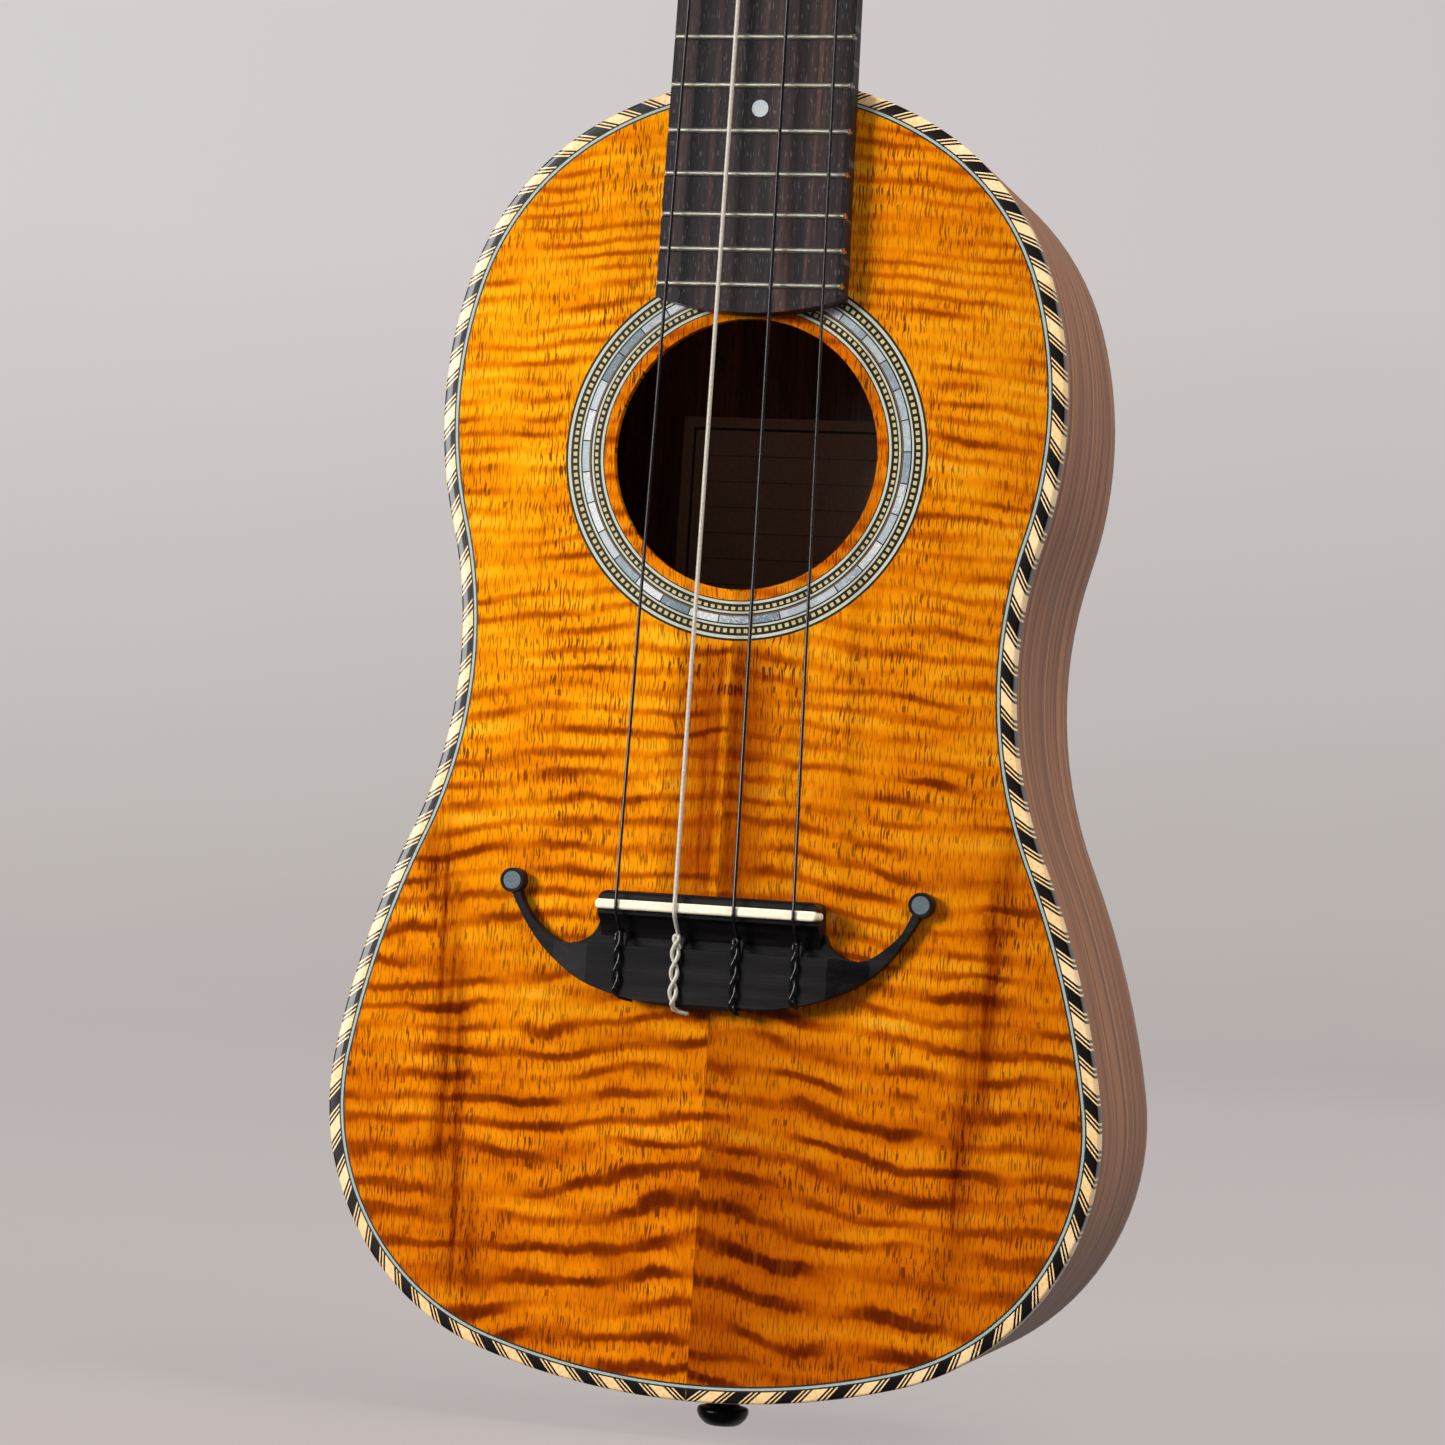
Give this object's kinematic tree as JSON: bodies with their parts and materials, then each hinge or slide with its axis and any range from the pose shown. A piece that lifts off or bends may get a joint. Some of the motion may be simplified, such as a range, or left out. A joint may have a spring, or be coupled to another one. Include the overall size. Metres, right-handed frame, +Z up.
{
  "type": "tenor ukulele",
  "caption": "Small four-string plucked instrument with a figure-of-eight wooden body, rope-pattern edge, moustache bridge and geared tuners.",
  "frame": {"origin": "middle of the tail end, on the strap button's axis, where the button's foot meets the body", "axes": "+Z up along the neck towards the head, -Y out of the soundboard, +X to the right seen from the front"},
  "size_m": [0.1864, 0.0792, 0.6766],
  "materials": {
    "koa": "gloss",
    "rosewood": "satin",
    "mahogany": "satin",
    "ebony": "satin",
    "lining_wood": "raw",
    "spruce": "raw",
    "rope_wood": "gloss",
    "purfling_strip": "gloss",
    "rosette_wood": "gloss",
    "pearl": "polished",
    "label_paper": "matte",
    "bone": "polished",
    "steel": "brushed",
    "brass": "satin",
    "nickel_silver": "polished",
    "tuner_chrome": "polished",
    "knob": "gloss",
    "string_nylon": "gloss",
    "wound_string": "wound"
  },
  "bodies": {
    "instrument": {"back_braces": "spruce", "back_linings": "lining_wood", "back_plate": "rosewood", "bridge": "ebony", "bridge_dots": "pearl", "bridge_patch": "lining_wood", "fan_braces": "spruce", "fretboard": "ebony", "frets": "nickel_silver", "head_veneer": "koa", "heel_cap": "ebony", "label": "label_paper", "neck": "mahogany", "neck_block": "mahogany", "neck_bolt": "steel", "neck_insert": "brass", "nut": "bone", "position_dots": "pearl", "purfling": "purfling_strip", "rope_bindings": "rope_wood", "rosette_inner": "rosette_wood", "rosette_outer": "rosette_wood", "rosette_pearl": "pearl", "saddle": "bone", "side_left": "rosewood", "side_right": "rosewood", "soundboard": "koa", "soundhole_braces": "spruce", "strap_button": "ebony", "strap_button_screw": "steel", "string_a": "string_nylon", "string_c": "wound_string", "string_e": "string_nylon", "string_g": "string_nylon", "tail_block": "mahogany", "top_linings": "lining_wood", "tuner_bushings": "tuner_chrome", "tuner_plates": "tuner_chrome", "tuner_screws": "tuner_chrome"},
    "worm_shaft_g": {"worm_g": "steel", "tuner_knob_g": "knob"},
    "post_g": {"string_post_g": "tuner_chrome", "tuner_gear_g": "brass", "string_coil_g": "string_nylon"},
    "worm_shaft_c": {"worm_c": "steel", "tuner_knob_c": "knob"},
    "post_c": {"string_post_c": "tuner_chrome", "tuner_gear_c": "brass", "string_coil_c": "wound_string"},
    "worm_shaft_e": {"worm_e": "steel", "tuner_knob_e": "knob"},
    "post_e": {"string_post_e": "tuner_chrome", "tuner_gear_e": "brass", "string_coil_e": "string_nylon"},
    "worm_shaft_a": {"worm_a": "steel", "tuner_knob_a": "knob"},
    "post_a": {"string_post_a": "tuner_chrome", "tuner_gear_a": "brass", "string_coil_a": "string_nylon"}
  },
  "joints": [
    {"name": "knob_turn_g", "type": "hinge", "parent": "instrument", "child": "worm_shaft_g", "pos_m": [-0.016, -0.00671, 0.59106], "axis": [1, 0, 0], "continuous": true},
    {"name": "post_turn_g", "type": "hinge", "parent": "instrument", "child": "post_g", "pos_m": [-0.016, -0.0259, 0.58708], "axis": [0, -0.9744, 0.225], "continuous": true},
    {"name": "knob_turn_c", "type": "hinge", "parent": "instrument", "child": "worm_shaft_c", "pos_m": [-0.016, 0.00274, 0.63199], "axis": [1, 0, 0], "continuous": true},
    {"name": "post_turn_c", "type": "hinge", "parent": "instrument", "child": "post_c", "pos_m": [-0.016, -0.01645, 0.628], "axis": [0, -0.9744, 0.225], "continuous": true},
    {"name": "knob_turn_e", "type": "hinge", "parent": "instrument", "child": "worm_shaft_e", "pos_m": [0.016, 0.00274, 0.63199], "axis": [1, 0, 0], "continuous": true},
    {"name": "post_turn_e", "type": "hinge", "parent": "instrument", "child": "post_e", "pos_m": [0.016, -0.01645, 0.628], "axis": [0, -0.9744, 0.225], "continuous": true},
    {"name": "knob_turn_a", "type": "hinge", "parent": "instrument", "child": "worm_shaft_a", "pos_m": [0.016, -0.00671, 0.59106], "axis": [1, 0, 0], "continuous": true},
    {"name": "post_turn_a", "type": "hinge", "parent": "instrument", "child": "post_a", "pos_m": [0.016, -0.0259, 0.58708], "axis": [0, -0.9744, 0.225], "continuous": true}
  ],
  "couplings": [
    {"joint": "post_turn_g", "follows": "knob_turn_g", "ratio": 0.071429},
    {"joint": "post_turn_c", "follows": "knob_turn_c", "ratio": 0.071429},
    {"joint": "post_turn_e", "follows": "knob_turn_e", "ratio": 0.071429},
    {"joint": "post_turn_a", "follows": "knob_turn_a", "ratio": 0.071429}
  ]
}
